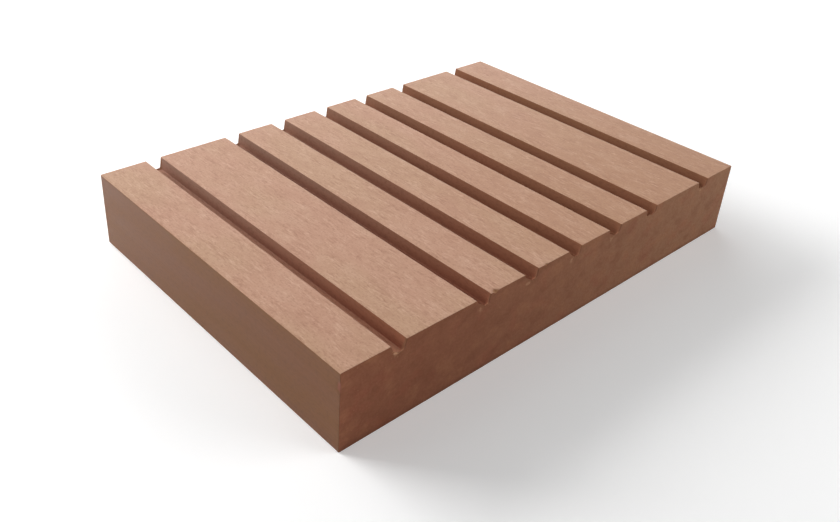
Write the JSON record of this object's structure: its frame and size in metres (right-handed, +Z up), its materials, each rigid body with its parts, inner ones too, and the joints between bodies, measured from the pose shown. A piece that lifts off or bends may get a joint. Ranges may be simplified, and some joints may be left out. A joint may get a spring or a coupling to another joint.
{
  "type": "grooved composite deck board sample",
  "caption": "Short square-cut length of solid composite decking board with flat lands and lengthwise drainage grooves on its top.",
  "frame": {"origin": "middle of the underside, on the surface that the board rests on", "axes": "+X across the grooves, from one long side to the other; +Y along the grooves, from one saw cut to the other; +Z up, out of the grooved face"},
  "size_m": [0.145, 0.1, 0.021],
  "materials": {
    "composite": "brushed tan lands, darker satin grooves and sides, sawn red-brown ends"
  },
  "bodies": {
    "root": {"deck_board": "composite"}
  },
  "joints": []
}
